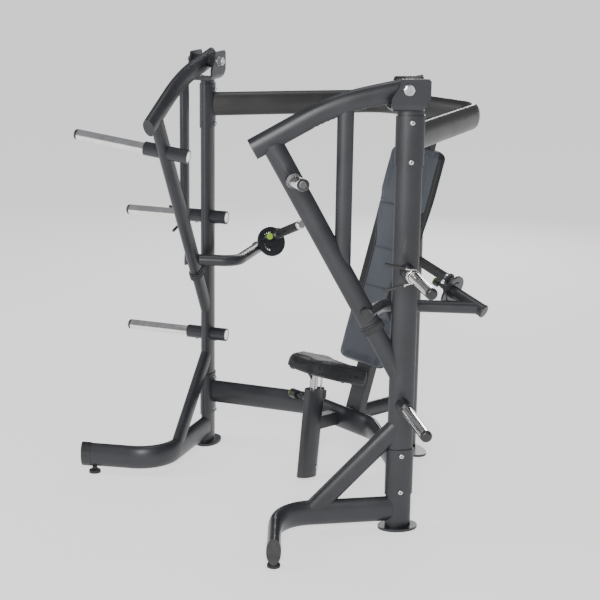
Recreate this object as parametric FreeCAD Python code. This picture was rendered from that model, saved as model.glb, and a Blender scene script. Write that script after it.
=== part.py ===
import FreeCAD, Part
import os
os.makedirs("parts", exist_ok=True)
from math import acos, copysign, cos, degrees, radians, sin, sqrt, tan

V = FreeCAD.Vector

# Plate-loaded chest press. Millimetres, +Z up, X across (the left half is +X), the user faces -Y.
# Everything is built for the left half and mirrored in X. A point of the left half is
# place(off, run, z): run follows the press arm forward and inward, off is square to it, outward.

# ---- overall layout ----
HALF_SPAN = 697.0        # middle of an upright from the middle plane
YAW = 30.0               # the press arms close inward by this many degrees
PLATE_T = 12.0           # floor plates
UPRIGHT_TOP = 1836.0
REAR_POST_Y = 741.0
CROSS_Y = 805.0          # rear tube of the upper frame
UPPER_Z = 1715.0
LOWER_Z = 272.0

# ---- oval tubes: half length, half width ----
MAIN = (57.0, 28.5)
MID = (45.0, 26.0)
STOP = (41.0, 24.0)
REAR = (39.0, 23.5)
STRUT = (35.0, 19.0)
WALL = 3.0

# ---- legs and braces ----
LEG_Z = 90.0
LEG_RUN = 545.0
LEG_OUT = 385.0
LEG_TURN = 80.0
LEG_BEND = 180.0
CAP_LONG = 42.0
CAP_WALL = 2.5
FOOT_OUT = 329.0
FOOT_R = 28.0
FOOT_STEM_R = 7.0
LOCK_NUT_FROM = 22.0
BRACE_SUM = 484.0        # a brace lies on run + z = this

# ---- frame tubes ----
FRAME_BEND = 150.0
LOWER_CORNER_X = 238.0
UPPER_CORNER_X = 323.0
SLEEVE_GROW = 5.0
LOWER_SLEEVE = (159.0, 367.0)
UPPER_SLEEVE = (1606.0, 1815.0)
SLEEVE_BOLT_Z = (175.0, 342.0, 1625.0, 1788.0)
BOLT_R = 6.0
BOLT_HOLE_R = 6.5
BOLT_HEAD_R = 11.0
BOLT_HEAD_T = 7.5
NUT_AF = 18.0
NUT_T = 10.0

# ---- pivot bracket ----
CHEEK = 66.0             # outer face of a cheek from the arm's middle plane
BRACKET_T = 10.0
BRACKET_BEND = 30.0
BRACKET_TOP = 1969.0
PIVOT_RUN = 26.0
PIVOT_Z = 1924.0
PIVOT_R = 12.0
PIVOT_FIT = 0.05
PIVOT_AF = 36.0
HUB_R = 30.0

# ---- press arm, points as (run, z) ----
BOOM_TAIL = (-52.0, 1937.0)
BOOM_KNEE = (318.0, 1863.0)
BOOM_NOSE = (655.0, 1681.0)
BOOM_BEND = 1000.0
DIAGONAL_FOOT = (142.0, 927.0)
DIAGONAL_LEAN = 29.1     # from the vertical
STRUT_RUN = 272.0
END_PLATE_T = 8.0
END_PLATE_GROW = 4.0
REST_GAP = 0.5
BUMPER = (52.0, 33.0)
BUMPER_T = 28.0

# ---- weight horns ----
HORN_R = 25.0
HORN_WALL = 4.0
HORN_SLEEVE_R = 32.0
HORN_CAP_R = 24.8
HORN_SPIGOT_R = 24.0     # the part of a horn that sits in its sleeve
HORN_STEP = 1.0          # the full diameter starts this far outside the sleeve
STORAGE_Z = (572.0, 1166.0)
STORAGE_SLEEVE = (-100.0, 105.0)
STORAGE_END = 420.0
ARM_HORN_AT = (490.0, 1551.0)
ARM_HORN_DIR = V(0.819, -0.557, 0.136)
ARM_SLEEVE = (-115.0, 97.0)
ARM_HORN_END = 428.0
HORN_SCREWS = (-41.0, 61.0)

# ---- handle carrier and handle ----
CARRIER_R = 27.5
CARRIER_BEND = 110.0
CARRIER_END = (40.0, 170.0, 982.0)
CARRIER_CORNER = V(515, 40, 968)
TEE = V(767, 380, 952)
INDEX_DIR = V(-0.91, -0.20, 0.36)
INDEX_R = 28.5
INDEX_TAIL = 27.0
DISC_AT = 145.0          # disc centre along the index tube from the tee
DISC_R = 75.0
DISC_T = 10.0
SPINDLE_R = 20.0
FIT = 0.05
ROTOR_GAP = 1.0
ROTOR_T = 10.0
PIN_AT = (-42.0, 17.0)   # pull pin, square to the index axis
GRIP_AT = (22.0, 29.0)   # grip, square to the index axis
PIN_R = 5.0
PIN_STANDOFF = 0.5
KNOB_R = 17.5
GRIP_R = 22.0
GRIP_BAR_R = 14.0
GRIP_START = 64.0
GRIP_LONG = 232.0
INDEX_HOLES = 13
INDEX_STEP = 15.0

# ---- back ----
BACK_TILT = 18.4
PAD_FOOT = V(0, 373, 517)
PAD_HALF = 156.0
PAD_LONG = 1080.0
PAD_T = 40.0
BOARD_T = 12.0
SOFT_GAP = 0.5
SUPPORT_HALF = 50.0
SUPPORT_T = 44.0
SUPPORT_LOW = -240.0
SUPPORT_HIGH = 1276.0
REAR_TUBE_Z = 262.0

# ---- seat ----
SEAT_TILT = 18.5
SEAT_NOSE_Z = 555.0
SEAT_T = 74.0
SEAT_OUTLINE = ((90, 0), (132, 60), (165, 132), (165, 322))
SEAT_PLATE_T = 6.0
POST_TILT = 5.6
POST_TOP = V(0, 108, 432)
POST_R = 19.0
HOUSING_LONG = 420.0
BRACKET_Z = (237.0, 302.0)
POST_BACK = -8.0         # post axis from the middle of the housing
GAS_BACK = 39.0          # gas spring axis from the middle of the housing
GAS_R = 10.0
GAS_ROD_R = 5.0
SEAT_PIN_DOWN = 50.0
PIN_BOSS_END = 66.0
SEAT_KNOB = (109.0, 153.0)
SEAT_KNOB_R = 22.0

# ---- spring collar ----
COLLAR_AT = 136.0
WIRE_R = 3.0
COIL_R = 28.6

UP = V(0, 0, 1)
ACROSS = V(1, 0, 0)
BACKWARD = V(0, 1, 0)
OUT = V(cos(radians(YAW)), -sin(radians(YAW)), 0)
FORWARD = V(-sin(radians(YAW)), -cos(radians(YAW)), 0)
ARM_HORN_DIR.normalize()
INDEX_DIR.normalize()


def place(off, run, z):
    return V(HALF_SPAN, 0, z) + OUT * off + FORWARD * run


def section(centre, axis, long_dir, a, b):
    """Oval face across axis, half length a along long_dir and half width b."""
    if a == b:
        return Part.Face(Part.Wire(Part.Circle(centre, axis, a).toShape()))
    length_dir = long_dir - axis * long_dir.dot(axis)
    length_dir.normalize()
    width_dir = axis.cross(length_dir)
    oval = Part.Ellipse(centre + length_dir * a, centre + width_dir * b, centre)
    return Part.Face(Part.Wire(oval.toShape()))


def fused(pieces):
    shape = pieces[0]
    for piece in pieces[1:]:
        shape = shape.fuse(piece)
    return shape


def main_solid(shape):
    """The largest solid that a cut leaves."""
    return max(shape.Solids, key=lambda one: one.Volume)


def bar(points, long_dir, size, bend=0.0):
    """Filled oval bar through the points, with one bend radius at the corners."""
    a, b = size
    pieces = []
    start = points[0]
    for i in range(len(points) - 1):
        d = points[i + 1] - points[i]
        d.normalize()
        end = points[i + 1]
        if i + 2 < len(points):
            after = points[i + 2] - points[i + 1]
            after.normalize()
            turn = acos(d.dot(after))
            trim = bend * tan(turn / 2)
            end = points[i + 1] - d * trim
        pieces.append(section(start, d, long_dir, a, b).extrude(end - start))
        if i + 2 < len(points):
            axis = d.cross(after)
            axis.normalize()
            centre = end + axis.cross(d) * bend
            face = section(end, d, long_dir, a, b)
            pieces.append(face.revolve(centre, axis, degrees(turn)))
            start = points[i + 1] + after * trim
    return fused(pieces)


def tube(points, long_dir, size, bend=0.0):
    inner = (size[0] - WALL, size[1] - WALL)
    return bar(points, long_dir, size, bend).cut(bar(points, long_dir, inner, bend))


def rod(origin, d, t0, t1, r):
    return Part.makeCylinder(r, t1 - t0, origin + d * t0, d)


def domed(origin, d, t0, t1, r, rounding):
    """Cylinder with its far rim rounded."""
    body = rod(origin, d, t0, t1, r)
    tip = origin + d * t1
    rim = [e for e in body.Edges if (e.CenterOfMass - tip).Length < 0.01]
    return body.makeFillet(rounding, rim)


def horn_set(origin, d, sleeve_span, end):
    """Weight horn: the sleeve's filled shape, the sleeve, the hollow horn and its cap."""
    low, high = sleeve_span
    fill = rod(origin, d, low, high, HORN_SLEEVE_R)
    sleeve = fill.cut(rod(origin, d, low - 1, high + 1, HORN_SPIGOT_R))
    horn = rod(origin, d, low, high + HORN_STEP, HORN_SPIGOT_R)
    horn = horn.fuse(rod(origin, d, high + HORN_STEP, end, HORN_R))
    inside = HORN_R - HORN_WALL
    horn = horn.cut(rod(origin, d, low + 8, end + 1, inside))
    cap = domed(origin, d, end, end + 16, HORN_CAP_R, 12)
    cap = cap.fuse(rod(origin, d, end - 25, end, inside))
    return fill, sleeve, horn, cap


def hexagon(origin, d, t0, t1, across_flats):
    side_dir = d.cross(UP)
    side_dir.normalize()
    third_dir = d.cross(side_dir)
    r = across_flats / sqrt(3)
    ring = []
    for i in range(7):
        angle = radians(60 * i)
        ring.append(origin + d * t0 + side_dir * (r * cos(angle)) + third_dir * (r * sin(angle)))
    return Part.Face(Part.makePolygon(ring)).extrude(d * (t1 - t0))


def box(x0, x1, y0, y1, z0, z1):
    return Part.makeBox(x1 - x0, y1 - y0, z1 - z0, V(x0, y0, z0))


def prism(points, depth):
    """Closed polygon pushed along depth."""
    return Part.Face(Part.makePolygon(points + [points[0]])).extrude(depth)


def round_edges(shape, direction, r):
    """Round the straight edges that run along a direction."""
    edges = []
    for e in shape.Edges:
        along = e.lastVertex().Point - e.firstVertex().Point
        if along.Length > 1 and abs(abs(along.normalize().dot(direction)) - 1) < 1e-6:
            edges.append(e)
    return shape.makeFillet(r, edges)


def round_face(shape, normal, r):
    """Round every edge of the flat face that looks along normal and lies farthest that way."""
    faces = [f for f in shape.Faces if (f.normalAt(0.5, 0.5) - normal).Length < 1e-4]
    face = max(faces, key=lambda f: f.CenterOfMass.dot(normal))
    return shape.makeFillet(r, face.Edges)


def turned(shape, tilt, origin):
    """Lean a shape back about X and put it at origin."""
    shape = shape.copy()
    shape.rotate(V(0, 0, 0), ACROSS, -tilt)
    shape.translate(origin)
    return shape


def mirrored(shape):
    return shape.mirror(V(0, 0, 0), ACROSS)


def both(*shapes):
    return list(shapes) + [mirrored(s) for s in shapes]


def both_sides(points):
    return [(x, y) for x, y in points] + [(-x, y) for x, y in points]


nodes = {}

# ======== uprights, sleeves, plates ========
upright_line = [place(0, 0, PLATE_T), place(0, 0, UPRIGHT_TOP)]
upright_fill = bar(upright_line, FORWARD, MAIN)
sleeve_size = (MAIN[0] + SLEEVE_GROW, MAIN[1] + SLEEVE_GROW)
sleeve_fills = []
for low, high in (LOWER_SLEEVE, UPPER_SLEEVE):
    sleeve_fills.append(bar([place(0, 0, low), place(0, 0, high)], FORWARD, sleeve_size))

upright = tube(upright_line, FORWARD, MAIN)
sleeves = [fill.cut(upright_fill) for fill in sleeve_fills]
bolts = []
for z in SLEEVE_BOLT_Z:
    middle = place(0, 0, z)
    face_at = sleeve_size[1]
    hole = rod(middle, OUT, -60, 60, BOLT_HOLE_R)
    upright = upright.cut(hole)
    sleeves = [s.cut(hole) for s in sleeves]
    shank = rod(middle, OUT, -face_at - NUT_T - 4, face_at, BOLT_R)
    bolts.append(shank.fuse(domed(middle, OUT, face_at, face_at + BOLT_HEAD_T, BOLT_HEAD_R, 5)))
    bolts.append(hexagon(middle, OUT, -face_at - NUT_T, -face_at, NUT_AF).cut(shank))

storage_sleeves = []
storage_horns = []
storage_caps = []
for z in STORAGE_Z:
    middle = place(0, 0, z)
    sleeve_fill, sleeve, horn, cap = horn_set(middle, OUT, STORAGE_SLEEVE, STORAGE_END)
    upright = upright.cut(sleeve_fill)
    for along in HORN_SCREWS:
        root = place(along, 0, z)
        shank = rod(root, UP, -HORN_SLEEVE_R, -HORN_R + HORN_WALL, 4)
        sleeve = sleeve.cut(shank)
        horn = horn.cut(shank)
        bolts.append(shank.fuse(rod(root, UP, -HORN_SLEEVE_R - 5, -HORN_SLEEVE_R, 7)))
    storage_sleeves.append(sleeve)
    storage_horns.append(horn)
    storage_caps.append(cap)

foot_plate = bar([place(0, 0, 0), place(0, 0, PLATE_T)], FORWARD, (88, 62))
rear_plate_y = REAR_POST_Y - 30
rear_plate = bar([V(0, rear_plate_y, 0), V(0, rear_plate_y, PLATE_T)], ACROSS, (140, 75))

# ======== legs ========
run_more = LEG_OUT / tan(radians(LEG_TURN))
leg_line = [place(0, 30, LEG_Z), place(0, LEG_RUN, LEG_Z), place(LEG_OUT, LEG_RUN + run_more, LEG_Z)]
leg_fill = bar(leg_line, UP, MAIN, LEG_BEND)
leg = tube(leg_line, UP, MAIN, LEG_BEND)
leg_dir = leg_line[2] - leg_line[1]
leg_dir.normalize()
cap_line = [leg_line[2] - leg_dir * CAP_LONG, leg_line[2] + leg_dir * 3]
leg_cap = bar(cap_line, UP, (MAIN[0] + CAP_WALL, MAIN[1] + CAP_WALL))
leg_cap = leg_cap.cut(leg_fill)
foot_at = leg_line[1] + leg_dir * (FOOT_OUT / sin(radians(LEG_TURN)))
foot_at.z = 0
foot = domed(foot_at, UP, 0, 14, FOOT_R, 5).fuse(rod(foot_at, UP, 10, 52, FOOT_STEM_R))
leg_underside = LEG_Z - MAIN[0]
foot = foot.fuse(rod(foot_at, UP, LOCK_NUT_FROM, leg_underside - 0.5, 12))
leg = leg.cut(rod(foot_at, UP, 20, 60, FOOT_STEM_R + 0.5))
leg = main_solid(leg.cut(upright_fill))

# ======== lower braces ========
brace_line = [place(0, 10, BRACE_SUM - 10), place(0, 384, BRACE_SUM - 384)]
brace = tube(brace_line, UP, MID).cut(upright_fill).cut(leg_fill)
brace = main_solid(brace.cut(sleeve_fills[0]))

# ======== stop tube and bumper ========
lean_run = sin(radians(DIAGONAL_LEAN))
lean_up = cos(radians(DIAGONAL_LEAN))


def on_diagonal(t):
    """Point t above the foot of the arm's diagonal, on its axis."""
    return place(0, DIAGONAL_FOOT[0] + lean_run * t, DIAGONAL_FOOT[1] + lean_up * t)


stop_top = -REST_GAP - BUMPER_T
stop_fill = bar([on_diagonal(stop_top), on_diagonal(-290)], FORWARD, STOP)
stop_hollow = bar([on_diagonal(stop_top - 4), on_diagonal(-291)], FORWARD, (STOP[0] - WALL, STOP[1] - WALL))
stop_tube = main_solid(stop_fill.cut(stop_hollow).cut(upright_fill))
bumper = bar([on_diagonal(stop_top), on_diagonal(-REST_GAP)], FORWARD, BUMPER)

# ======== upper and lower frame ========
lower_line = [V(-HALF_SPAN, 0, LOWER_Z), V(-LOWER_CORNER_X, 265, LOWER_Z),
              V(LOWER_CORNER_X, 265, LOWER_Z), V(HALF_SPAN, 0, LOWER_Z)]
upper_line = [V(-HALF_SPAN, 0, UPPER_Z), V(-UPPER_CORNER_X, CROSS_Y, UPPER_Z),
              V(UPPER_CORNER_X, CROSS_Y, UPPER_Z), V(HALF_SPAN, 0, UPPER_Z)]
lower_fill = bar(lower_line, UP, MAIN, FRAME_BEND)
upper_fill = bar(upper_line, UP, MAIN, FRAME_BEND)
lower_frame = tube(lower_line, UP, MAIN, FRAME_BEND)
upper_frame = tube(upper_line, UP, MAIN, FRAME_BEND)
for fill in both(*sleeve_fills):
    lower_frame = lower_frame.cut(fill)
    upper_frame = upper_frame.cut(fill)
lower_frame = main_solid(lower_frame)
upper_frame = main_solid(upper_frame)

# ======== pivot brackets ========


def beside(shape):
    """Move a shape drawn as (off, -run, z) to the left upright."""
    shape = shape.copy()
    shape.rotate(V(0, 0, 0), UP, -YAW)
    shape.translate(V(HALF_SPAN, 0, 0))
    return shape


outer_u = round_edges(box(-CHEEK, CHEEK, -110, 80, UPRIGHT_TOP, 2100), BACKWARD, BRACKET_BEND)
inner_half = CHEEK - BRACKET_T
inner_u = round_edges(box(-inner_half, inner_half, -111, 81, UPRIGHT_TOP + BRACKET_T, 2200), BACKWARD,
                      BRACKET_BEND - BRACKET_T)
side_outline = ((85, UPRIGHT_TOP), (97, 1857), (97.5, 1885), (68, 1934), (57, BRACKET_TOP - 1),
                (48, BRACKET_TOP), (-56, BRACKET_TOP), (-66, 1959), (-66, 1880), (-39, 1841), (-30, UPRIGHT_TOP))
side = prism([V(-CHEEK - 1, -run, z) for run, z in side_outline], V(2 * CHEEK + 2, 0, 0))
bracket = beside(outer_u.cut(inner_u).common(side))
pivot = place(0, PIVOT_RUN, PIVOT_Z)
bracket = main_solid(bracket.cut(rod(pivot, OUT, -CHEEK - 2, CHEEK + 2, PIVOT_R + 0.3)))
pivot_shaft = rod(pivot, OUT, -CHEEK - 29, CHEEK + 4, PIVOT_R)
washer_out = rod(pivot, OUT, CHEEK, CHEEK + 4, 22)
pivot_bolt = pivot_shaft.fuse(washer_out).fuse(hexagon(pivot, OUT, CHEEK + 4, CHEEK + 19, PIVOT_AF))
pivot_nut = rod(pivot, OUT, -CHEEK - 4, -CHEEK, 22).fuse(hexagon(pivot, OUT, -CHEEK - 23, -CHEEK - 4, PIVOT_AF))
pivot_nut = pivot_nut.cut(pivot_shaft)

# ======== press arm ========
boom_line = [place(0, *BOOM_TAIL), place(0, *BOOM_KNEE), place(0, *BOOM_NOSE)]
boom_fill = bar(boom_line, UP, MID, BOOM_BEND)
boom_dir = boom_line[2] - boom_line[1]
boom_dir.normalize()
hollow_line = [boom_line[0], boom_line[1], boom_line[2] - boom_dir * 5]
boom = boom_fill.cut(bar(hollow_line, UP, (MID[0] - WALL, MID[1] - WALL), BOOM_BEND))
hub = rod(pivot, OUT, -inner_half + 1, inner_half - 1, HUB_R)
boom = main_solid(boom.fuse(hub).cut(rod(pivot, OUT, -CHEEK, CHEEK, PIVOT_R + PIVOT_FIT)))

diagonal_line = [on_diagonal(END_PLATE_T), on_diagonal(889)]
diagonal_fill = bar(diagonal_line, FORWARD, MID)
end_plate = bar([on_diagonal(0), on_diagonal(END_PLATE_T)], FORWARD,
                (MID[0] + END_PLATE_GROW, MID[1] + END_PLATE_GROW))
strut_line = [place(0, STRUT_RUN, 1150), place(0, STRUT_RUN, 1850)]
strut = main_solid(tube(strut_line, FORWARD, STRUT).cut(boom_fill).cut(diagonal_fill))

horn_root = place(0, *ARM_HORN_AT)
arm_sleeve_fill, arm_sleeve, arm_horn, horn_cap = horn_set(horn_root, ARM_HORN_DIR, ARM_SLEEVE, ARM_HORN_END)

carrier_line = [place(*CARRIER_END), CARRIER_CORNER, TEE]
carrier_fill = bar(carrier_line, UP, (CARRIER_R, CARRIER_R), CARRIER_BEND)
carrier = tube(carrier_line, UP, (CARRIER_R, CARRIER_R), CARRIER_BEND)
index_fill = rod(TEE, INDEX_DIR, -INDEX_TAIL, DISC_AT - DISC_T / 2, INDEX_R)
carrier = main_solid(carrier.cut(index_fill))
diagonal = tube(diagonal_line, FORWARD, MID).fuse(end_plate).cut(boom_fill)
diagonal = main_solid(diagonal.cut(arm_sleeve_fill).cut(carrier_fill))

carrier_dir = carrier_line[0] - carrier_line[1]
carrier_dir.normalize()
carrier_cap = domed(carrier_line[0], carrier_dir, 0, 9, CARRIER_R + 2.5, 6)
carrier_cap = carrier_cap.fuse(rod(carrier_line[0], carrier_dir, -15, 0, CARRIER_R - WALL))

# ======== index tube and disc ========
back_dir = INDEX_DIR * -1
index_tube = index_fill.cut(rod(TEE, INDEX_DIR, -INDEX_TAIL - 1, DISC_AT, SPINDLE_R + FIT))
index_cap = domed(TEE, back_dir, INDEX_TAIL, INDEX_TAIL + 9, INDEX_R + 2, 6)
index_cap = index_cap.fuse(rod(TEE, back_dir, INDEX_TAIL - 12, INDEX_TAIL, SPINDLE_R))
disc_middle = TEE + INDEX_DIR * DISC_AT
side_axis = UP.cross(INDEX_DIR)
side_axis.normalize()
top_axis = INDEX_DIR.cross(side_axis)
side_axis = side_axis * -1


def spot(at):
    """Point of the disc's middle plane, at = (sideways, upward)."""
    return disc_middle + side_axis * at[0] + top_axis * at[1]


disc = rod(disc_middle, INDEX_DIR, -DISC_T / 2, DISC_T / 2, DISC_R)
disc = disc.cut(rod(disc_middle, INDEX_DIR, -DISC_T, DISC_T, SPINDLE_R + FIT))
pin_radius = sqrt(PIN_AT[0] ** 2 + PIN_AT[1] ** 2)
pin_offset = spot(PIN_AT) - disc_middle
pin_side = INDEX_DIR.cross(pin_offset)
for i in range(INDEX_HOLES):
    angle = radians((i - (INDEX_HOLES - 1) / 2) * INDEX_STEP)
    hole_at = disc_middle + pin_offset * cos(angle) + pin_side * sin(angle)
    disc = disc.cut(rod(hole_at, INDEX_DIR, -DISC_T, DISC_T, PIN_R + 0.4))

# ======== handle ========


def lobe(at, r, r_middle):
    """Plate outline from the spindle to a round end, as a solid."""
    reach = spot(at) - disc_middle
    distance = reach.Length
    d = reach * (1 / distance)
    n = INDEX_DIR.cross(d)
    spread = acos((r_middle - r) / distance)
    corners = []
    for base, radius, sign in ((disc_middle, r_middle, 1), (spot(at), r, 1), (spot(at), r, -1),
                               (disc_middle, r_middle, -1)):
        corners.append(base + d * (radius * cos(spread)) + n * (radius * sin(spread) * sign))
    web = prism([c + INDEX_DIR * rotor_from for c in corners], INDEX_DIR * ROTOR_T)
    return web.fuse(rod(spot(at), INDEX_DIR, rotor_from, rotor_to, r))


rotor_from = DISC_T / 2 + ROTOR_GAP
rotor_to = rotor_from + ROTOR_T
handle_hub = rod(disc_middle, INDEX_DIR, rotor_from, rotor_to, 32)
handle_hub = handle_hub.fuse(lobe(PIN_AT, 19, 32)).fuse(lobe(GRIP_AT, 27, 32))
handle_hub = handle_hub.fuse(rod(disc_middle, INDEX_DIR, -DISC_AT - 10, rotor_from + 1, SPINDLE_R))
handle_hub = handle_hub.fuse(rod(spot(PIN_AT), INDEX_DIR, rotor_to - 1, rotor_to + 22, 11))
handle_hub = handle_hub.fuse(rod(spot(GRIP_AT), INDEX_DIR, rotor_to - 1, GRIP_START - 14, 22))
handle_hub = handle_hub.fuse(rod(spot(GRIP_AT), INDEX_DIR, GRIP_START - 26, GRIP_START - 14, 30))
handle_hub = handle_hub.cut(rod(spot(GRIP_AT), INDEX_DIR, rotor_to + 4, GRIP_START, GRIP_BAR_R))
handle_hub = main_solid(handle_hub.cut(rod(spot(PIN_AT), INDEX_DIR, 0, rotor_to + 30, PIN_R + FIT)))
pin_tip = DISC_T / 2 + PIN_STANDOFF
handle_pin = rod(spot(PIN_AT), INDEX_DIR, pin_tip, 52, PIN_R)
handle_pin = handle_pin.fuse(rod(spot(PIN_AT), INDEX_DIR, rotor_to + 24, 56, 8))
handle_pin = handle_pin.fuse(domed(spot(PIN_AT), INDEX_DIR, 54, 80, KNOB_R, 6))
grip_end = GRIP_START + GRIP_LONG
handle_bar = rod(spot(GRIP_AT), INDEX_DIR, rotor_to + 4, grip_end, GRIP_BAR_R)
handle_bar = handle_bar.fuse(rod(spot(GRIP_AT), INDEX_DIR, GRIP_START - 14, GRIP_START - 2, GRIP_R + 2))
handle_bar = handle_bar.fuse(domed(spot(GRIP_AT), INDEX_DIR, grip_end, grip_end + 17, GRIP_R + 1.5, 9))
grip = rod(spot(GRIP_AT), INDEX_DIR, GRIP_START - 2, grip_end, GRIP_R)
grip = grip.cut(rod(spot(GRIP_AT), INDEX_DIR, 0, grip_end + 1, GRIP_BAR_R))

# ======== back ========
support_back = PAD_T + BOARD_T
pad = round_edges(box(-PAD_HALF, PAD_HALF, 0, PAD_T - SOFT_GAP, 0, PAD_LONG), BACKWARD, 42)
pad = turned(round_face(pad, V(0, -1, 0), 13), BACK_TILT, PAD_FOOT)
board = round_edges(box(-PAD_HALF + 8, PAD_HALF - 8, PAD_T, support_back, 8, PAD_LONG - 8), BACKWARD, 34)
board = turned(board, BACK_TILT, PAD_FOOT)
support_fill = round_edges(box(-SUPPORT_HALF, SUPPORT_HALF, support_back, support_back + SUPPORT_T,
                               SUPPORT_LOW, SUPPORT_HIGH), UP, 6)
support_hollow = box(-SUPPORT_HALF + WALL, SUPPORT_HALF - WALL, support_back + WALL,
                     support_back + SUPPORT_T - WALL, SUPPORT_LOW - 1, SUPPORT_HIGH - 4)
above_support = turned(box(-200, 200, support_back - 600, support_back + SUPPORT_T, -400, 1800),
                       BACK_TILT, PAD_FOOT)
support = turned(support_fill.cut(support_hollow), BACK_TILT, PAD_FOOT)
rear_tube_line = [V(0, 265, REAR_TUBE_Z), V(0, REAR_POST_Y, REAR_TUBE_Z)]
rear_tube_fill = bar(rear_tube_line, UP, REAR)
support = main_solid(support.cut(upper_fill).cut(rear_tube_fill))
rear_post_line = [V(0, REAR_POST_Y, PLATE_T), V(0, REAR_POST_Y, 1500)]
rear_post_fill = bar(rear_post_line, BACKWARD, MID)
rear_post = main_solid(tube(rear_post_line, BACKWARD, MID).cut(above_support))
rear_tube = main_solid(tube(rear_tube_line, UP, REAR).cut(lower_fill).cut(rear_post_fill))

# ======== seat ========
seat_origin = V(0, 0, SEAT_NOSE_Z)
outline = [V(x, y, 0) for x, y in SEAT_OUTLINE] + [V(-x, y, 0) for x, y in reversed(SEAT_OUTLINE)]
seat_pad = round_edges(prism(outline, UP * SEAT_T), UP, 34)
seat_pad = round_face(seat_pad, UP, 20)
seat_pad = turned(seat_pad, SEAT_TILT, seat_origin)
plate_low = -SOFT_GAP - SEAT_PLATE_T
board_outline = [V(x - copysign(14, x), 14 + 0.92 * y, plate_low) for x, y, z in outline]
seat_plate = round_edges(prism(board_outline, UP * SEAT_PLATE_T), UP, 24)
seat_plate = turned(seat_plate, SEAT_TILT, seat_origin)
above_plate = turned(box(-300, 300, -200, 600, plate_low, 400), SEAT_TILT, seat_origin)
post_axis = V(0, sin(radians(POST_TILT)), cos(radians(POST_TILT)))
gas_origin = turned(Part.Vertex(0, GAS_BACK, 0), POST_TILT, POST_TOP).Point
post_origin = turned(Part.Vertex(0, POST_BACK, 0), POST_TILT, POST_TOP).Point
post_fill = rod(post_origin, post_axis, -240, 160, POST_R)
post = post_fill
for i in range(8):
    hole_at = post_origin + post_axis * (-SEAT_PIN_DOWN - 150 + 25 * i)
    post = post.cut(rod(hole_at, ACROSS, -POST_R - 1, -POST_R + 11, 6.4))
post = main_solid(post.cut(above_plate))
gusset = prism([V(-4, 45, 560), V(-4, 100, 560), V(-4, 100, 488), V(-4, 86, 488)], ACROSS * 8)
gusset = main_solid(gusset.cut(post_fill).cut(above_plate))
seat_plate = seat_plate.fuse(gusset)
seat_screws = []
for x, y in both_sides(((62, 26), (138, 172), (138, 236), (70, 290))):
    axis_foot = V(x, y, plate_low)
    shank = turned(Part.makeCylinder(4, SEAT_PLATE_T, axis_foot, UP), SEAT_TILT, seat_origin)
    head = turned(Part.makeCylinder(8, 4, axis_foot - UP * 4, UP), SEAT_TILT, seat_origin)
    seat_plate = seat_plate.cut(shank)
    seat_screws.append(shank.fuse(head))
gas_rod = rod(gas_origin, post_axis, -300, 160, GAS_ROD_R)
gas_rod = gas_rod.fuse(rod(gas_origin, post_axis, -300, -288, 7.5))
gas_rod = gas_rod.fuse(rod(gas_origin, post_axis, 52, 160, 8))
gas_rod = main_solid(gas_rod.cut(above_plate))

# ======== seat housing ========
inner_size = (MAIN[0] - WALL, MAIN[1] - WALL)


def housing_oval(z0, z1, size):
    return bar([V(0, 0, z0), V(0, 0, z1)], BACKWARD, size)


pin_at = V(0, POST_BACK, -SEAT_PIN_DOWN)
pin_dir = V(-1, 0, 0)
housing_fill = housing_oval(-HOUSING_LONG, 0, MAIN)
housing_hollow = housing_oval(-HOUSING_LONG - 1, 1, inner_size)
housing = housing_fill.fuse(rod(pin_at, pin_dir, 15, PIN_BOSS_END, 12)).cut(housing_hollow)
housing = housing.cut(rod(pin_at, pin_dir, 0, PIN_BOSS_END + 10, BOLT_R + FIT))
gas_bolt_at = V(0, GAS_BACK, -377)
gas_shank = rod(gas_bolt_at, ACROSS, -24, 24, 5)
gas_heads = fused([rod(gas_bolt_at, ACROSS, 16, 27, 8), rod(gas_bolt_at, ACROSS, -27, -16, 8)])
gas_heads = gas_heads.cut(housing_fill)
housing = main_solid(housing.cut(gas_shank))
housing = turned(housing, POST_TILT, POST_TOP)
gas_bolt = turned(gas_shank.fuse(gas_heads), POST_TILT, POST_TOP)

seat_pin = rod(pin_at, pin_dir, POST_R + 0.5, SEAT_KNOB[0], BOLT_R)
seat_pin = seat_pin.fuse(rod(pin_at, pin_dir, PIN_BOSS_END + 13, SEAT_KNOB[0] + 2, 9))
seat_pin = seat_pin.fuse(domed(pin_at, pin_dir, SEAT_KNOB[0], SEAT_KNOB[1], SEAT_KNOB_R, 7))
seat_pin = turned(seat_pin, POST_TILT, POST_TOP)

gland = housing_oval(0, 7, (MAIN[0] + 1, MAIN[1] + 1)).fuse(housing_oval(-25, 0, inner_size))
gland = gland.cut(rod(V(0, POST_BACK, 0), UP, -40, 20, POST_R + FIT))
gland = turned(gland.cut(rod(V(0, GAS_BACK, 0), UP, -40, 20, GAS_ROD_R + 1)), POST_TILT, POST_TOP)
plug = housing_oval(-HOUSING_LONG - 6, -HOUSING_LONG, MAIN)
plug = plug.fuse(housing_oval(-HOUSING_LONG, -HOUSING_LONG + 20, inner_size))
plug = turned(plug, POST_TILT, POST_TOP)

stub = box(-22, 22, 80, 265, *BRACKET_Z).cut(turned(housing_fill, POST_TILT, POST_TOP))
stub = max(stub.cut(lower_fill).Solids, key=lambda one: one.BoundBox.YMax)
lug = turned(box(-14, 14, 44, 65, -45, -5).cut(housing_fill), POST_TILT, POST_TOP)
lug_bolts = []
for down in (-15, -35):
    lug_bolts.append(turned(Part.makeCylinder(6, 5, V(0, 65, down), BACKWARD), POST_TILT, POST_TOP))

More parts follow.
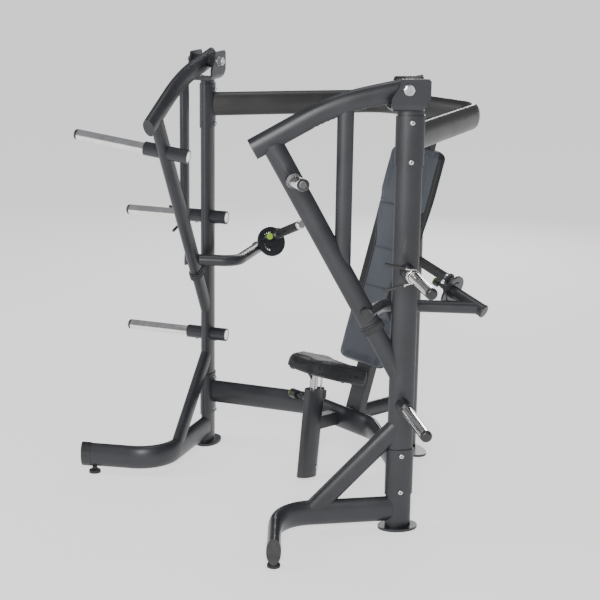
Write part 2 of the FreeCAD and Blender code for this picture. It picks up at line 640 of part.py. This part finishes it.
gas_tube = rod(V(0, GAS_BACK, 0), UP, -362, -32, GAS_R)
gas_tube = gas_tube.fuse(rod(gas_bolt_at, ACROSS, -9, 9, 10)).fuse(rod(V(0, GAS_BACK, 0), UP, -377, -360, 8))
gas_tube = gas_tube.cut(rod(V(0, GAS_BACK, 0), UP, -350, -40, 8))
gas_tube = gas_tube.cut(rod(V(0, GAS_BACK, 0), UP, -50, -20, GAS_ROD_R + FIT))
gas_tube = turned(main_solid(gas_tube.cut(gas_shank)), POST_TILT, POST_TOP)

# ======== spring collars on the upper storage horns ========
collar_middle = place(COLLAR_AT, 0, STORAGE_Z[1])
turns = []
for i in range(4):
    turns.append(Part.makeTorus(COIL_R, WIRE_R, collar_middle + OUT * ((i - 1.5) * 5.6), OUT))
for sign in (1, -1):
    start = collar_middle + OUT * (8.4 * sign) + UP * (COIL_R * sign)
    reach = FORWARD * 122 + UP * (30 * sign)
    length = reach.Length
    reach.normalize()
    turns.append(rod(start, reach, 0, length, WIRE_R))
    turns.append(rod(start, reach, length - 92, length + 4, 7))
spring_collar = fused(turns)

# ======== nodes ========
nodes["uprights"] = both(main_solid(upright))
nodes["base_plates"] = both(foot_plate) + [rear_plate]
nodes["legs"] = both(leg)
nodes["leg_caps"] = both(leg_cap)
nodes["level_feet"] = both(foot)
nodes["braces"] = both(brace)
nodes["stop_tubes"] = both(stop_tube)
nodes["bumpers"] = both(bumper)
nodes["upper_frame"] = [upper_frame]
nodes["lower_frame"] = [lower_frame]
nodes["frame_sleeves"] = both(*sleeves)
nodes["pivot_brackets"] = both(bracket)
nodes["pivot_bolts"] = both(pivot_bolt, pivot_nut)
nodes["frame_bolts"] = both(*bolts) + [gas_bolt] + lug_bolts
nodes["storage_sleeves"] = both(*storage_sleeves)
nodes["storage_horns"] = both(*storage_horns)
nodes["storage_caps"] = both(*storage_caps)
nodes["rear_post"] = [rear_post]
nodes["rear_tube"] = [rear_tube]
nodes["back_support"] = [support]
nodes["back_board"] = [board]
nodes["back_pad"] = [pad]
nodes["seat_housing"] = [housing]
nodes["housing_plugs"] = [gland, plug]
nodes["housing_bracket"] = [stub, lug]
nodes["gas_cylinder"] = [gas_tube]
nodes["gas_rod"] = [gas_rod]
nodes["seat_post"] = [post]
nodes["seat_plate"] = [seat_plate]
nodes["seat_pad"] = [seat_pad]
nodes["seat_screws"] = seat_screws
nodes["seat_pin"] = [seat_pin]
arm_nodes = {
    "boom": [boom],
    "strut": [strut],
    "diagonal": [diagonal],
    "horn_sleeve": [arm_sleeve],
    "arm_horn": [arm_horn],
    "carrier": [carrier],
    "index_tube": [index_tube],
    "index_disc": [disc],
    "arm_caps": [horn_cap, carrier_cap, index_cap],
    "handle_hub": [handle_hub],
    "handle_bar": [handle_bar],
    "grip": [grip],
    "handle_pin": [handle_pin],
    "spring_collar": [spring_collar],
}
for name, shapes in arm_nodes.items():
    nodes[name + "_left"] = shapes
    nodes[name + "_right"] = [mirrored(s) for s in shapes]

# The origin is on the floor under the middle of the whole machine.
lows = [s.BoundBox.YMin for shapes in nodes.values() for s in shapes]
highs = [s.BoundBox.YMax for shapes in nodes.values() for s in shapes]
to_middle = V(0, -(min(lows) + max(highs)) / 2, 0)
for name, shapes in nodes.items():
    moved = []
    for s in shapes:
        s = s.copy()
        s.translate(to_middle)
        moved.append(s)
    whole = moved[0] if len(moved) == 1 else Part.makeCompound(moved)
    whole.exportStep("parts/" + name + ".step")
print(len(nodes), "nodes; moved in Y by", to_middle.y)
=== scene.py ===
import math

import bmesh
import bpy
from mathutils import Matrix, Vector


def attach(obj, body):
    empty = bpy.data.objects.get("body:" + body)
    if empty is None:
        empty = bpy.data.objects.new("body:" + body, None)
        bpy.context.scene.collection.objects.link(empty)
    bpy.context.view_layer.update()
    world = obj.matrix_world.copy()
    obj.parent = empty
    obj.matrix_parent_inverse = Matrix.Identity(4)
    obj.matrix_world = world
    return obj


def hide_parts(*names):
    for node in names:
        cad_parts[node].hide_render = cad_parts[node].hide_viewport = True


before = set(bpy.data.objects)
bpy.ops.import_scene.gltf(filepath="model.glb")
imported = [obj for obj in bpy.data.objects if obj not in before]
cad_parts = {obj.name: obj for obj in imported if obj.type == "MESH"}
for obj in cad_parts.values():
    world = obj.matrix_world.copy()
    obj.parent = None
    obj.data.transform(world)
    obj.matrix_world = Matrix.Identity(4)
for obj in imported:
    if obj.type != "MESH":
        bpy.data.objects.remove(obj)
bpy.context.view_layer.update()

# A plate-loaded chest press. The middle of the machine's plan is the origin, +X is the user's left.
SHIFT = -0.058955        # the uprights stand this far from the origin in Y
BACK_TILT = math.radians(18.4)
SEAT_TILT = math.radians(18.5)
POST_TILT = math.radians(5.6)
SEAT_PIN_DOWN = 0.05     # the seat pin below the top of the housing
POST_FORWARD = 0.008     # the seat post in front of the housing's middle
KNOB_FACE = 0.1502       # where the seat knob's cap starts, from the middle plane
HANDLE_KNOB_FACE = 0.0778
COLLAR_OUT = 0.136       # a collar's place along its horn
SIDES = ("left", "right")


# ---------------------------------------------------------------- finishes

def new_finish(name, roughness, metallic=0.0):
    finish = bpy.data.materials.new(name)
    finish.use_nodes = True
    shader = finish.node_tree.nodes["Principled BSDF"]
    shader.inputs["Roughness"].default_value = roughness
    shader.inputs["Metallic"].default_value = metallic
    return finish, finish.node_tree.nodes, finish.node_tree.links, shader


def add_noise(nodes, links, scale, detail=4.0, stretch=(1, 1, 1)):
    where = nodes.new("ShaderNodeTexCoord")
    turn = nodes.new("ShaderNodeMapping")
    turn.inputs["Scale"].default_value = stretch
    pattern = nodes.new("ShaderNodeTexNoise")
    pattern.inputs["Scale"].default_value = scale
    pattern.inputs["Detail"].default_value = detail
    links.new(where.outputs["Object"], turn.inputs["Vector"])
    links.new(turn.outputs["Vector"], pattern.inputs["Vector"])
    return pattern


def add_bump(nodes, links, shader, height, depth, strength=1.0):
    bump = nodes.new("ShaderNodeBump")
    bump.inputs["Strength"].default_value = strength
    bump.inputs["Distance"].default_value = depth
    links.new(height, bump.inputs["Height"])
    links.new(bump.outputs["Normal"], shader.inputs["Normal"])


def add_mottle(nodes, links, shader, pattern, dark, light, low=0.35, high=0.65):
    ramp = nodes.new("ShaderNodeValToRGB")
    ramp.color_ramp.elements[0].position = low
    ramp.color_ramp.elements[0].color = (*dark, 1)
    ramp.color_ramp.elements[1].position = high
    ramp.color_ramp.elements[1].color = (*light, 1)
    links.new(pattern.outputs["Fac"], ramp.inputs["Fac"])
    links.new(ramp.outputs["Color"], shader.inputs["Base Color"])
    return ramp


def add_gloss_range(nodes, links, shader, pattern, low, high):
    spread = nodes.new("ShaderNodeMapRange")
    spread.inputs["From Min"].default_value = 0.3
    spread.inputs["From Max"].default_value = 0.7
    spread.inputs["To Min"].default_value = low
    spread.inputs["To Max"].default_value = high
    links.new(pattern.outputs["Fac"], spread.inputs["Value"])
    links.new(spread.outputs["Result"], shader.inputs["Roughness"])


def powder_coat(name, dark, light, low=0.34, high=0.44):
    """Satin powder coat: fine orange peel, a slow drift in tone and gloss."""
    finish, nodes, links, shader = new_finish(name, 0.4)
    slow = add_noise(nodes, links, 6.0)
    add_mottle(nodes, links, shader, slow, dark, light)
    add_gloss_range(nodes, links, shader, slow, low, high)
    peel = add_noise(nodes, links, 1400.0, 2.0)
    add_bump(nodes, links, shader, peel.outputs["Fac"], 0.00006, 0.35)
    shader.inputs["Coat Weight"].default_value = 0.06
    shader.inputs["Coat Roughness"].default_value = 0.25
    return finish


def bright_metal(name, dark, light, low, high, stretch=(1, 1, 1), depth=0.00002):
    finish, nodes, links, shader = new_finish(name, 0.1, 1.0)
    slow = add_noise(nodes, links, 30.0, 3.0, stretch)
    add_mottle(nodes, links, shader, slow, dark, light)
    add_gloss_range(nodes, links, shader, slow, low, high)
    fine = add_noise(nodes, links, 500.0, 2.0, stretch)
    add_bump(nodes, links, shader, fine.outputs["Fac"], depth, 0.15)
    return finish


def moulded(name, dark, light, low, high, grain=900.0, depth=0.00008):
    finish, nodes, links, shader = new_finish(name, 0.5)
    slow = add_noise(nodes, links, 25.0)
    add_mottle(nodes, links, shader, slow, dark, light)
    add_gloss_range(nodes, links, shader, slow, low, high)
    fine = add_noise(nodes, links, grain, 3.0)
    add_bump(nodes, links, shader, fine.outputs["Fac"], depth, 0.5)
    return finish


def ribbed_rubber(name, direction, pitch):
    """Rubber sleeve with fine rings round its own axis."""
    finish, nodes, links, shader = new_finish(name, 0.6)
    slow = add_noise(nodes, links, 40.0)
    add_mottle(nodes, links, shader, slow, (0.016, 0.016, 0.017), (0.03, 0.03, 0.032))
    where = nodes.new("ShaderNodeTexCoord")
    along = nodes.new("ShaderNodeVectorMath")
    along.operation = "DOT_PRODUCT"
    along.inputs[1].default_value = direction
    scale = nodes.new("ShaderNodeMath")
    scale.operation = "MULTIPLY"
    scale.inputs[1].default_value = 2 * math.pi / pitch
    wave = nodes.new("ShaderNodeMath")
    wave.operation = "SINE"
    links.new(where.outputs["Object"], along.inputs[0])
    links.new(along.outputs["Value"], scale.inputs[0])
    links.new(scale.outputs["Value"], wave.inputs[0])
    add_bump(nodes, links, shader, wave.outputs["Value"], 0.0006, 0.6)
    shader.inputs["Specular IOR Level"].default_value = 0.35
    return finish


def two_part(name, centre, direction, reach, near_colour, far_colour,
             near_metal, far_metal, near_rough, far_rough):
    """One finish up to a distance from a point along a direction, another beyond it."""
    finish, nodes, links, shader = new_finish(name, 0.3)
    where = nodes.new("ShaderNodeTexCoord")
    offset = nodes.new("ShaderNodeVectorMath")
    offset.operation = "SUBTRACT"
    offset.inputs[1].default_value = centre
    along = nodes.new("ShaderNodeVectorMath")
    along.operation = "DOT_PRODUCT"
    along.inputs[1].default_value = direction
    beyond = nodes.new("ShaderNodeMath")
    beyond.operation = "GREATER_THAN"
    beyond.inputs[1].default_value = reach
    links.new(where.outputs["Object"], offset.inputs[0])
    links.new(offset.outputs["Vector"], along.inputs[0])
    links.new(along.outputs["Value"], beyond.inputs[0])
    colour = nodes.new("ShaderNodeMix")
    colour.data_type = "RGBA"
    # A Mix node has one set of sockets per data type, so the colour ones are taken by type.
    for socket in colour.inputs:
        if socket.type == "RGBA" and socket.name == "A":
            socket.default_value = (*near_colour, 1)
        if socket.type == "RGBA" and socket.name == "B":
            socket.default_value = (*far_colour, 1)
    result = [s for s in colour.outputs if s.type == "RGBA"][0]
    links.new(beyond.outputs["Value"], colour.inputs["Factor"])
    links.new(result, shader.inputs["Base Color"])
    for socket, near, far in (("Metallic", near_metal, far_metal), ("Roughness", near_rough, far_rough)):
        spread = nodes.new("ShaderNodeMapRange")
        spread.inputs["To Min"].default_value = near
        spread.inputs["To Max"].default_value = far
        links.new(beyond.outputs["Value"], spread.inputs["Value"])
        links.new(spread.outputs["Result"], shader.inputs[socket])
    fine = add_noise(nodes, links, 700.0, 3.0)
    add_bump(nodes, links, shader, fine.outputs["Fac"], 0.00005, 0.3)
    return finish


def padded_vinyl(name, front, edge, roughness):
    """Vinyl with a fine pebble grain in two colours, set by a mask attribute that is 1 for the first colour and 0 for
    the second. On the back pad these are the front panel and its borders; on the seat they are the upward-facing top
    and the sides, where the lighter top is painted light.
    """
    finish, nodes, links, shader = new_finish(name, roughness)
    panel_and_top_light = nodes.new("ShaderNodeAttribute")
    panel_and_top_light.attribute_name = "panel_and_top_light"
    colour = nodes.new("ShaderNodeValToRGB")
    colour.color_ramp.elements[0].position = 0.4
    colour.color_ramp.elements[0].color = (*edge, 1)
    colour.color_ramp.elements[1].position = 0.6
    colour.color_ramp.elements[1].color = (*front, 1)
    links.new(panel_and_top_light.outputs["Fac"], colour.inputs["Fac"])
    slow = add_noise(nodes, links, 9.0)
    shade = nodes.new("ShaderNodeMapRange")
    shade.inputs["From Min"].default_value = 0.3
    shade.inputs["From Max"].default_value = 0.7
    shade.inputs["To Min"].default_value = 0.93
    shade.inputs["To Max"].default_value = 1.07
    tone = nodes.new("ShaderNodeHueSaturation")
    links.new(slow.outputs["Fac"], shade.inputs["Value"])
    links.new(shade.outputs["Result"], tone.inputs["Value"])
    links.new(colour.outputs["Color"], tone.inputs["Color"])
    links.new(tone.outputs["Color"], shader.inputs["Base Color"])
    where = nodes.new("ShaderNodeTexCoord")
    pebble = nodes.new("ShaderNodeTexVoronoi")
    pebble.inputs["Scale"].default_value = 520.0
    links.new(where.outputs["Object"], pebble.inputs["Vector"])
    add_bump(nodes, links, shader, pebble.outputs["Distance"], 0.00025, 0.45)
    add_gloss_range(nodes, links, shader, slow, roughness - 0.05, roughness + 0.05)
    shader.inputs["Sheen Weight"].default_value = 0.05
    shader.inputs["Specular IOR Level"].default_value = 0.3
    return finish


frame_coat = powder_coat("frame_coat", (0.014, 0.015, 0.018), (0.021, 0.022, 0.026))
upper_coat = powder_coat("upper_frame_coat", (0.017, 0.016, 0.016), (0.024, 0.022, 0.021))
horn_chrome = bright_metal("horn_chrome", (0.8, 0.79, 0.77), (0.92, 0.91, 0.9), 0.1, 0.17)
zinc_bolts = bright_metal("zinc_bolts", (0.55, 0.56, 0.58), (0.72, 0.73, 0.75), 0.22, 0.34, depth=0.00004)
post_steel = bright_metal("post_steel", (0.4, 0.4, 0.42), (0.55, 0.55, 0.57), 0.2, 0.3, (1, 1, 0.1))
cap_plastic = moulded("cap_plastic", (0.014, 0.014, 0.015), (0.026, 0.026, 0.028), 0.28, 0.38)
bumper_rubber = moulded("bumper_rubber", (0.014, 0.014, 0.014), (0.024, 0.024, 0.025), 0.6, 0.75, 500.0, 0.0002)
board_stain = moulded("board_stain", (0.02, 0.02, 0.02), (0.035, 0.034, 0.033), 0.6, 0.75, 300.0, 0.0002)
green_plastic = moulded("green_plastic", (0.27, 0.5, 0.035), (0.31, 0.56, 0.045), 0.3, 0.4)
back_vinyl = padded_vinyl("back_vinyl", (0.07, 0.077, 0.093), (0.014, 0.015, 0.017), 0.45)
# The seat's first colour goes on its upward-facing top and the second on its sides: the lighter top is painted light
# from above.
seat_vinyl = padded_vinyl("seat_vinyl", (0.0125, 0.0128, 0.0145), (0.0095, 0.0098, 0.011), 0.55)


def finish_nodes(finish, *names):
    for name in names:
        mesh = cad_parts[name].data
        mesh.materials.clear()
        mesh.materials.append(finish)


def on_both(*names):
    return [name + "_" + side for name in names for side in SIDES]


finish_nodes(frame_coat, "uprights", "base_plates", "legs", "braces", "stop_tubes", "lower_frame", "frame_sleeves",
             "pivot_brackets", "storage_sleeves", "rear_post", "rear_tube", "back_support", "seat_housing",
             "housing_bracket", "seat_plate", "gas_cylinder",
             *on_both("boom", "strut", "diagonal", "horn_sleeve", "carrier", "index_tube", "index_disc", "handle_hub"))
finish_nodes(upper_coat, "upper_frame")
finish_nodes(horn_chrome, "storage_horns", *on_both("arm_horn", "handle_bar"))
finish_nodes(zinc_bolts, "pivot_bolts", "frame_bolts", "gas_rod")
finish_nodes(post_steel, "seat_post")
finish_nodes(cap_plastic, "leg_caps", "storage_caps", "housing_plugs", "seat_screws", "seat_pin",
             *on_both("arm_caps", "handle_pin"))
finish_nodes(bumper_rubber, "bumpers", "level_feet")
finish_nodes(board_stain, "back_board")


# ---------------------------------------------------------------- places on the machine

def left_half(x, y, z):
    return Vector((x, y + SHIFT * 1000, z)) / 1000


def mirror_x(v):
    return Vector((-v.x, v.y, v.z))


YAW = math.radians(30)
OUTWARD = Vector((math.cos(YAW), -math.sin(YAW), 0))
FORWARD = Vector((-math.sin(YAW), -math.cos(YAW), 0))
INDEX_AXIS = Vector((-0.91, -0.20, 0.36)).normalized()
TEE = left_half(767, 380, 952)
DISC = TEE + INDEX_AXIS * 0.145
DISC_SIDE = -Vector((0, 0, 1)).cross(INDEX_AXIS).normalized()
DISC_TOP = INDEX_AXIS.cross(-DISC_SIDE)
UPRIGHT = left_half(697, 0, 0)

collar_at = UPRIGHT + OUTWARD * COLLAR_OUT + Vector((0, 0, 1.166))
for side in SIDES:
    flip = mirror_x if side == "right" else (lambda v: v)
    finish_nodes(ribbed_rubber("grip_rubber_" + side, flip(INDEX_AXIS), 0.004), "grip_" + side)
    clip = two_part("collar_wire_" + side, flip(collar_at), flip(FORWARD), 0.038, (0.7, 0.69, 0.67),
                    (0.018, 0.018, 0.019), 1.0, 0.0, 0.14, 0.5)
    finish_nodes(clip, "spring_collar_" + side)


# ---------------------------------------------------------------- small hard pieces

def piece(name, shape, finish, body):
    bmesh.ops.recalc_face_normals(shape, faces=shape.faces)
    mesh = bpy.data.meshes.new(name)
    shape.to_mesh(mesh)
    shape.free()
    mesh.materials.append(finish)
    made = bpy.data.objects.new(name, mesh)
    bpy.context.collection.objects.link(made)
    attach(made, body)
    return made


def button(shape, middle, axis, radius, height, segments=32, rounding=0.0008):
    """A short round or six-sided disc that stands on middle and rises along axis."""
    turn = Vector((0, 0, 1)).rotation_difference(axis).to_matrix().to_4x4()
    place = Matrix.Translation(middle + axis * (height / 2)) @ turn
    made = bmesh.ops.create_cone(shape, cap_ends=True, segments=segments, radius1=radius, radius2=radius,
                                 depth=height, matrix=place)
    top = middle + axis * height
    rim = {e for v in made["verts"] for e in v.link_edges
           if all(abs((p.co - top).dot(axis)) < 1e-5 for p in e.verts)}
    bmesh.ops.bevel(shape, geom=list(rim), offset=rounding, segments=3, profile=0.5, affect="EDGES", material=-1)


for side in SIDES:
    flip = mirror_x if side == "right" else (lambda v: v)
    knob = DISC - DISC_SIDE * 0.042 + DISC_TOP * 0.017 + INDEX_AXIS * HANDLE_KNOB_FACE
    cap = bmesh.new()
    button(cap, flip(knob), flip(INDEX_AXIS), 0.0165, 0.0044, 40, 0.0016)
    piece("knob_cap_" + side, cap, green_plastic, "handle_pin_" + side)

post_up = Vector((0, math.sin(POST_TILT), math.cos(POST_TILT)))
post_back = Vector((0, math.cos(POST_TILT), -math.sin(POST_TILT)))
post_top = left_half(0, 108, 432) - post_back * POST_FORWARD
seat_knob = post_top - post_up * SEAT_PIN_DOWN - Vector((KNOB_FACE, 0, 0))
cap = bmesh.new()
button(cap, seat_knob, Vector((-1, 0, 0)), 0.0195, 0.0045, 40, 0.002)
piece("seat_knob_cap", cap, green_plastic, "seat_pin")

# Thin dark six-sided discs on the frame bolt heads: painted shade standing in for the hollow hex sockets.
socket_shade = bmesh.new()
for side in SIDES:
    flip = mirror_x if side == "right" else (lambda v: v)
    for height in (0.175, 0.342, 1.625, 1.788):
        head = UPRIGHT + OUTWARD * (0.0335 + 0.0074) + Vector((0, 0, height))
        button(socket_shade, flip(head), flip(OUTWARD), 0.0042, 0.0005, 6, 0.0001)
piece("socket_shade_discs", socket_shade, cap_plastic, "frame")


# ---------------------------------------------------------------- cushions

def smooth_step(value, low, high):
    t = min(max((value - low) / (high - low), 0.0), 1.0)
    return t * t * (3 - 2 * t)


def apply_modifiers(made):
    graph = bpy.context.evaluated_depsgraph_get()
    mesh = bpy.data.meshes.new_from_object(made.evaluated_get(graph))
    made.modifiers.clear()
    made.data = mesh


def inflate(made, holds, cap):
    """Swell a closed form by air pressure. holds(co) is true for points that stay put."""
    held = made.vertex_groups.new(name="held")
    before = [v.co.copy() for v in made.data.vertices]
    for v in made.data.vertices:
        if holds(v.co):
            held.add([v.index], 1.0, "REPLACE")
    cloth = made.modifiers.new("swell", "CLOTH")
    cloth.settings.use_pressure = True
    cloth.settings.uniform_pressure_force = 4.0
    cloth.settings.effector_weights.gravity = 0.0
    cloth.settings.vertex_group_mass = "held"
    cloth.settings.quality = 4
    cloth.settings.tension_stiffness = 25.0
    cloth.settings.compression_stiffness = 25.0
    cloth.point_cache.frame_end = 20
    for step in range(1, 21):
        bpy.context.scene.frame_set(step)
    apply_modifiers(made)
    bpy.context.scene.frame_set(1)
    for v, old in zip(made.data.vertices, before):
        move = v.co - old
        if move.length > cap:
            v.co = old + move.normalized() * cap


def cushion(name, form, voxel, holds, cap, sculpt, place, finish):
    """Remesh a form, swell it, subdivide it, sew its seams with sculpt(co, normal) and put it in place."""
    mesh = bpy.data.meshes.new(name)
    bmesh.ops.recalc_face_normals(form, faces=form.faces)
    form.to_mesh(mesh)
    form.free()
    made = bpy.data.objects.new(name, mesh)
    bpy.context.collection.objects.link(made)
    remesh = made.modifiers.new("remesh", "REMESH")
    remesh.mode = "VOXEL"
    remesh.voxel_size = voxel
    apply_modifiers(made)
    inflate(made, holds, cap)
    finer = made.modifiers.new("finer", "SUBSURF")
    finer.levels = 1
    finer.render_levels = 1
    apply_modifiers(made)
    mesh = made.data
    # sculpt also gives the colour mask: the front panel on the back pad, the painted lit top on the seat.
    panel_and_top_light = mesh.attributes.new("panel_and_top_light", "FLOAT", "POINT")
    normals = [v.normal.copy() for v in mesh.vertices]
    for v, normal in zip(mesh.vertices, normals):
        v.co, panel_and_top_light.data[v.index].value = sculpt(v.co.copy(), normal)
    mesh.transform(place)
    mesh.materials.clear()
    mesh.materials.append(finish)
    for face in mesh.polygons:
        face.use_smooth = True
    mesh.update()
    return made


def rounded_block(outline, low, high, axis, corner, rim, rim_high=True):
    """A block from a plan outline, with round corners and one round rim. axis is the depth direction."""
    form = bmesh.new()
    corners = [form.verts.new(Vector(p) + axis * low) for p in outline]
    base = form.faces.new(corners)
    pushed = bmesh.ops.extrude_face_region(form, geom=[base])
    tops = [g for g in pushed["geom"] if isinstance(g, bmesh.types.BMVert)]
    bmesh.ops.translate(form, verts=tops, vec=axis * (high - low))
    posts = [e for e in form.edges if abs((e.verts[0].co - e.verts[1].co).normalized().dot(axis)) > 0.999]
    bmesh.ops.bevel(form, geom=posts, offset=corner, segments=8, profile=0.5, affect="EDGES", material=-1)
    level = high if rim_high else low
    edges = [e for e in form.edges if all(abs(v.co.dot(axis) - level) < 1e-5 for v in e.verts)]
    bmesh.ops.bevel(form, geom=edges, offset=rim, segments=5, profile=0.5, affect="EDGES", material=-1)
    bmesh.ops.remove_doubles(form, verts=form.verts, dist=1e-5)
    return form


# Back pad: x across, y from the front face to the board, z up the pad.
PAD_HALF = 0.153
PAD_LONG = 1.078
CHANNELS = (0.23, 0.381, 0.571, 0.786)


def panel_half(z):
    """Half width of the front panel: full below and above, drawn in at the waist."""
    waist = smooth_step(z, 0.2, 0.33) * (1 - smooth_step(z, 0.56, 0.80))
    return 0.149 - 0.066 * waist


def sew_back(co, normal):
    x, y, z = co
    front = smooth_step(-normal.y, 0.25, 0.8)
    edge = panel_half(z)
    inside = 1.0 if abs(x) < edge and y < 0.022 else 0.0
    if 0.2 < z < 0.8:
        groove = math.exp(-((abs(x) - edge) / 0.0032) ** 2)
        co.y += 0.0035 * groove * front
        border = smooth_step(abs(x), edge, edge + 0.02)
        co.y += 0.006 * border * front * smooth_step(z, 0.2, 0.3) * (1 - smooth_step(z, 0.7, 0.8))
    for level in CHANNELS:
        if abs(x) < edge:
            dip = math.exp(-((z - level) / 0.0045) ** 2) * smooth_step(edge - abs(x), 0.0, 0.012)
            co.y += 0.006 * dip * front
    bolster = smooth_step(abs(x), 0.085, 0.125) * smooth_step(z, 0.80, 0.86) * (1 - smooth_step(z, 1.03, 1.075))
    co.y -= 0.011 * bolster * front
    wrap = smooth_step(abs(x), 0.10, 0.145) * smooth_step(y, 0.015, 0.038)
    co.y += wrap * (0.0125 + 0.024 * smooth_step(z, 0.55, 0.88))
    piping = math.exp(-((y - 0.021) / 0.0028) ** 2) * (1 - front)
    outward = Vector((normal.x, 0, normal.z))
    co += outward * (0.0012 * piping)
    return co, inside


pad_outline = [(-PAD_HALF, 0, 0.002), (PAD_HALF, 0, 0.002), (PAD_HALF, 0, PAD_LONG), (-PAD_HALF, 0, PAD_LONG)]
pad_form = rounded_block(pad_outline, 0.004, 0.0393, Vector((0, 1, 0)), 0.042, 0.013, rim_high=False)
pad_place = Matrix.Translation(left_half(0, 373, 517)) @ Matrix.Rotation(-BACK_TILT, 4, "X")
back_cushion = cushion("back_cushion", pad_form, 0.006, lambda co: co.y > 0.036, 0.006, sew_back,
                       pad_place, back_vinyl)
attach(back_cushion, "frame")
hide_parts("back_pad")


# Seat: x across, y backward along the seat, z up from its underside.
def sew_seat(co, normal):
    x, y, z = co
    top = smooth_step(normal.z, 0.3, 0.85)
    along = smooth_step(y, 0.08, 0.16) * (1 - smooth_step(y, 0.26, 0.32))
    dish = 0.007 * (1 - smooth_step(abs(x), 0.03, 0.12)) * along
    co.z -= dish * top
    nose = 1 - smooth_step(y, -0.01, 0.12)
    co.z -= 0.012 * nose * smooth_step(z, 0.03, 0.07)
    ring = max(math.exp(-((z - 0.052) / 0.0025) ** 2), math.exp(-((z - 0.009) / 0.002) ** 2)) * (1 - top)
    co -= Vector((normal.x, normal.y, 0)) * (0.0022 * ring)
    crease = math.exp(-((y - 0.118 - 0.25 * abs(x)) / 0.004) ** 2) * top
    co.z -= 0.003 * crease
    # The upward-facing top gets the lighter vinyl colour: painted light on the seat top.
    return co, 1.0 if top > 0.5 else 0.0


half_outline = [(0.088, 0.003), (0.130, 0.062), (0.162, 0.134), (0.162, 0.319)]
seat_outline = [(x, y, 0) for x, y in half_outline] + [(-x, y, 0) for x, y in reversed(half_outline)]
seat_form = rounded_block(seat_outline, 0.0005, 0.071, Vector((0, 0, 1)), 0.034, 0.022)
seat_place = Matrix.Translation(left_half(0, 0, 555)) @ Matrix.Rotation(-SEAT_TILT, 4, "X")
seat_cushion = cushion("seat_cushion", seat_form, 0.005, lambda co: co.z < 0.004, 0.005, sew_seat,
                       seat_place, seat_vinyl)
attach(seat_cushion, "seat")
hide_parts("seat_pad")


# ---------------------------------------------------------------- floor, light and camera

floor = bmesh.new()
bmesh.ops.create_grid(floor, x_segments=1, y_segments=1, size=80.0)
floor_mesh = bpy.data.meshes.new("floor")
floor.to_mesh(floor_mesh)
floor.free()
paper, paper_nodes, paper_links, paper_shader = new_finish("pale_floor", 0.9)
paper_shader.inputs["Base Color"].default_value = (0.6, 0.6, 0.6, 1)
paper_shader.inputs["Emission Color"].default_value = (1, 1, 1, 1)
paper_shader.inputs["Emission Strength"].default_value = 0.95
paper_shader.inputs["Specular IOR Level"].default_value = 0.1
floor_mesh.materials.append(paper)
floor_object = bpy.data.objects.new("floor", floor_mesh)
bpy.context.collection.objects.link(floor_object)

world = bpy.data.worlds.new("studio")
bpy.context.scene.world = world
world.use_nodes = True
world.node_tree.nodes["Background"].inputs["Color"].default_value = (0.93, 0.95, 1.0, 1)
world.node_tree.nodes["Background"].inputs["Strength"].default_value = 0.3


def soft_light(name, at, to, size, power, tint=(1, 1, 1)):
    lamp = bpy.data.lights.new(name, "AREA")
    lamp.shape = "RECTANGLE"
    lamp.size = size[0]
    lamp.size_y = size[1]
    lamp.energy = power
    lamp.color = tint
    made = bpy.data.objects.new(name, lamp)
    bpy.context.collection.objects.link(made)
    made.location = at
    made.rotation_euler = (Vector(to) - Vector(at)).to_track_quat("-Z", "Y").to_euler()
    return made


soft_light("key", (5.2, -4.6, 3.4), (0, 0, 0.9), (1.3, 3.2), 420)
soft_light("fill", (-3.5, -4.5, 3.0), (0, 0, 1.0), (1.6, 3.0), 110)
soft_light("overhead", (0.5, 0.2, 5.5), (0, 0, 0.5), (2.4, 2.4), 55)
soft_light("back", (-3.5, 4.5, 3.0), (0, 0, 1.2), (1.6, 3.0), 120)

turn = math.radians(49.78)
drop = math.radians(14.58)
roll = math.radians(0.86)
look = Vector((-math.sin(turn) * math.cos(drop), math.cos(turn) * math.cos(drop), -math.sin(drop)))
right = Vector((math.cos(turn), math.sin(turn), 0))
up = right.cross(look)
right, up = math.cos(roll) * right + math.sin(roll) * up, math.cos(roll) * up - math.sin(roll) * right
eye = Vector((5.081, -4.287 + SHIFT, 2.616))
lens = bpy.data.cameras.new("camera")
lens.sensor_width = 36
lens.lens = 89.6
lens.clip_end = 400
camera = bpy.data.objects.new("camera", lens)
bpy.context.collection.objects.link(camera)
turned = Matrix((right, up, -look)).transposed().to_4x4()
camera.matrix_world = Matrix.Translation(eye) @ turned
bpy.context.scene.camera = camera
